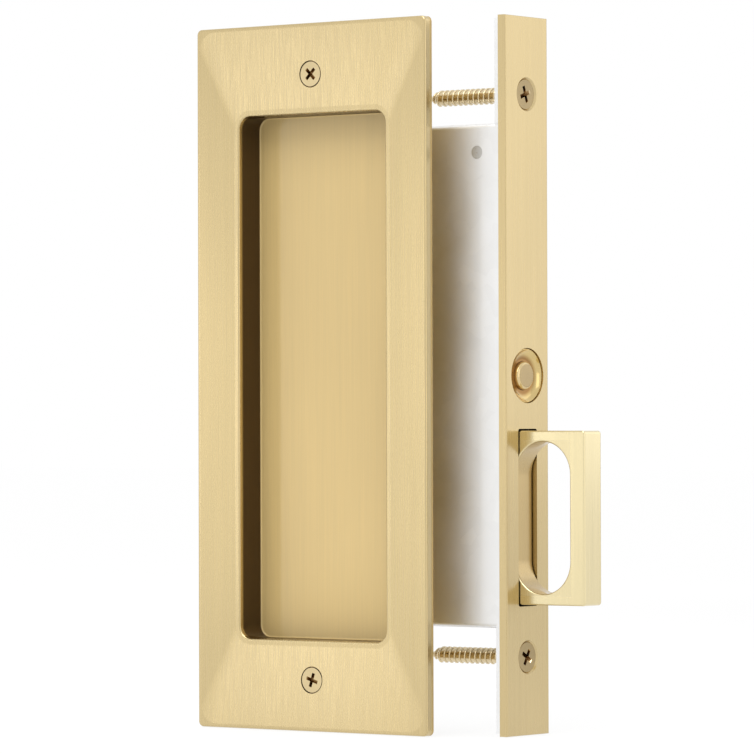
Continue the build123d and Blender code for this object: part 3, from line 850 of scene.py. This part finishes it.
class LOCK_OT_set_stage(bpy.types.Operator):
    """Sets the floor, the white studio, the lamps and the camera"""

    bl_idname = "lock.set_stage"
    bl_label = "Set stage"

    def execute(self, context):
        studio = context.scene.lock_studio
        context.scene.view_settings.view_transform = "Standard"
        self.white_world(context.scene)
        self.floor()
        trim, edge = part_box("trim_plate"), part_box("front_plate")
        self.lamp(
            "strip_lamp", trim, studio.strip_power,
            size=(0.08, 0.6), aim=(-38, 0), distance=0.9, lift=-0.17,
        )
        self.lamp("key_lamp", trim, studio.key_power, size=(0.5, 0.5), aim=(12, 50), distance=0.9)
        self.lamp(
            "rear_lamp", edge, studio.rear_power,
            size=(0.5, 0.6), aim=(143, 0), distance=0.7, lift=0.27,
        )
        self.lamp("side_lamp", edge, studio.side_power, size=(0.4, 1.2), aim=(76, 0), distance=0.9)
        self.top_lamp(studio.sky_power)
        self.dark_card()
        self.camera(context.scene, studio)
        return {"FINISHED"}

    def seen_directly(self, tree):
        """1 on rays from the camera and on rays that a metal or a glass sends on."""
        path = tree.nodes.new("ShaderNodeLightPath")
        total = path.outputs["Is Camera Ray"]
        for name in ("Is Glossy Ray", "Is Transmission Ray"):
            both = tree.nodes.new("ShaderNodeMath")
            both.operation = "MAXIMUM"
            tree.links.new(total, both.inputs[0])
            tree.links.new(path.outputs[name], both.inputs[1])
            total = both.outputs[0]
        return total

    def white_world(self, scene):
        """An even white sky."""
        world = bpy.data.worlds.new("white_studio")
        world.use_nodes = True
        sky = world.node_tree.nodes["Background"]
        sky.inputs["Color"].default_value = (1, 1, 1, 1)
        sky.inputs["Strength"].default_value = 1.0
        scene.world = world

    def sheet(self, name, half, place, material):
        """A square sheet of the studio, at a place."""
        mesh = bmesh.new()
        bmesh.ops.create_grid(mesh, x_segments=1, y_segments=1, size=half)
        bmesh.ops.transform(mesh, matrix=place, verts=mesh.verts)
        data = bpy.data.meshes.new(name)
        mesh.to_mesh(data)
        mesh.free()
        data.materials.append(material)
        sheet = bpy.data.objects.new(name, data)
        bpy.context.scene.collection.objects.link(sheet)
        return sheet

    def floor(self):
        """A white floor just under the lock, which keeps a soft part of its shadow."""
        material = bpy.data.materials.new("floor_white")
        material.use_nodes = True
        tree = material.node_tree
        plain = tree.nodes["Principled BSDF"]
        plain.inputs["Base Color"].default_value = (0.98, 0.98, 0.98, 1)
        plain.inputs["Roughness"].default_value = 0.9
        white = tree.nodes.new("ShaderNodeEmission")
        share = tree.nodes.new("ShaderNodeMath")
        share.operation = "MULTIPLY"
        share.inputs[1].default_value = 0.85
        tree.links.new(self.seen_directly(tree), share.inputs[0])
        mix = tree.nodes.new("ShaderNodeMixShader")
        tree.links.new(share.outputs[0], mix.inputs["Fac"])
        tree.links.new(plain.outputs[0], mix.inputs[1])
        tree.links.new(white.outputs[0], mix.inputs[2])
        tree.links.new(mix.outputs[0], tree.nodes["Material Output"].inputs["Surface"])
        gap = 0.0002
        place = Matrix.Translation((0, 0, cad_box[0][2] - gap))
        floor = self.sheet("floor", 6.0, place, material)

    def outward(self, turn, rise):
        """The direction at a turn from the trim's face towards the door edge, and at an elevation."""
        return Vector((math.sin(turn) * math.cos(rise), -math.cos(turn) * math.cos(rise), math.sin(rise)))

    def lamp(self, name, subject, power, size, aim, distance, lift=0.0):
        """A rectangular lamp that faces the middle of a box.

        aim is its turn from the trim's face and its elevation, in degrees, and lift raises it without
        tilting it.
        """
        data = bpy.data.lights.new(name, "AREA")
        data.shape = "RECTANGLE"
        data.size, data.size_y = size
        data.energy = power
        out = self.outward(*(math.radians(angle) for angle in aim))
        lamp = bpy.data.objects.new(name, data)
        lamp.location = (subject[0] + subject[1]) / 2 + out * distance + Vector((0, 0, lift))
        lamp.rotation_euler = out.to_track_quat("Z", "Y").to_euler()
        bpy.context.scene.collection.objects.link(lamp)

    def top_lamp(self, power):
        """A square lamp overhead that faces straight down."""
        data = bpy.data.lights.new("top_lamp", "AREA")
        data.size = 0.8
        data.energy = power
        lamp = bpy.data.objects.new("top_lamp", data)
        lamp.location = (-0.05, -0.2, 1.0)
        bpy.context.scene.collection.objects.link(lamp)

    def dark_card(self):
        """A dark card off to the trim's back, which the near side of the dish reflects."""
        material = bpy.data.materials.new("card_black")
        material.use_nodes = True
        plain = material.node_tree.nodes["Principled BSDF"]
        plain.inputs["Base Color"].default_value = (0.02, 0.018, 0.015, 1)
        turn = math.radians(184)
        upright = Matrix.Rotation(turn, 4, "Z") @ Matrix.Rotation(math.pi / 2, 4, "X")
        place = Matrix.Translation((math.sin(turn), -math.cos(turn), 0))
        card = self.sheet("dark_card", 0.32, place @ upright, material)
        card.visible_camera = False

    def camera(self, scene, studio):
        """The camera, turned and rolled about the point that it looks at."""
        turn, roll = studio.azimuth, studio.roll
        back = self.outward(turn, studio.elevation)
        right = Vector((math.cos(turn), math.sin(turn), 0))
        up = back.cross(right)
        across = right * math.cos(roll) + up * math.sin(roll)
        upward = up * math.cos(roll) - right * math.sin(roll)
        data = bpy.data.cameras.new("camera")
        data.lens = studio.lens
        data.sensor_width = 36
        data.clip_start = 0.05
        camera = bpy.data.objects.new("camera", data)
        facing_aim = Matrix((across, upward, back)).transposed().to_4x4()
        camera.matrix_world = Matrix.Translation(Vector(studio.aim) + back * studio.distance) @ facing_aim
        scene.collection.objects.link(camera)
        scene.camera = camera


class LOCK_PT_panel(bpy.types.Panel):
    """Lists the settings and the steps that dress the lock"""

    bl_idname = "LOCK_PT_panel"
    bl_label = "Pocket door lock"
    bl_space_type = "VIEW_3D"
    bl_region_type = "UI"
    bl_category = "Lock"

    def draw(self, context):
        for name, group in GROUPS.items():
            settings = getattr(context.scene, name)
            column = self.layout.column()
            for setting in group.__annotations__:
                column.prop(settings, setting)
        for step in STEPS:
            self.layout.operator(step.bl_idname)


GROUPS = {
    "lock_finishes": LockFinishes,
    "lock_threads": LockThreads,
    "lock_springs": LockSprings,
    "lock_studio": LockStudio,
}
STEPS = (
    LOCK_OT_finish_plates,
    LOCK_OT_finish_pull,
    LOCK_OT_finish_turned,
    LOCK_OT_finish_case,
    LOCK_OT_cut_threads,
    LOCK_OT_wind_springs,
    LOCK_OT_set_stage,
)


def register():
    for kind in (*GROUPS.values(), *STEPS, LOCK_PT_panel):
        bpy.utils.register_class(kind)
    for name, group in GROUPS.items():
        setattr(bpy.types.Scene, name, PointerProperty(type=group))


def unregister():
    for name in GROUPS:
        delattr(bpy.types.Scene, name)
    for kind in (LOCK_PT_panel, *reversed(STEPS), *GROUPS.values()):
        bpy.utils.unregister_class(kind)


def main():
    register()
    bpy.ops.lock.finish_plates()
    bpy.ops.lock.finish_pull()
    bpy.ops.lock.finish_turned()
    bpy.ops.lock.finish_case()
    bpy.ops.lock.cut_threads()
    bpy.ops.lock.wind_springs()
    bpy.ops.lock.set_stage()


if __name__ == "__main__":
    main()
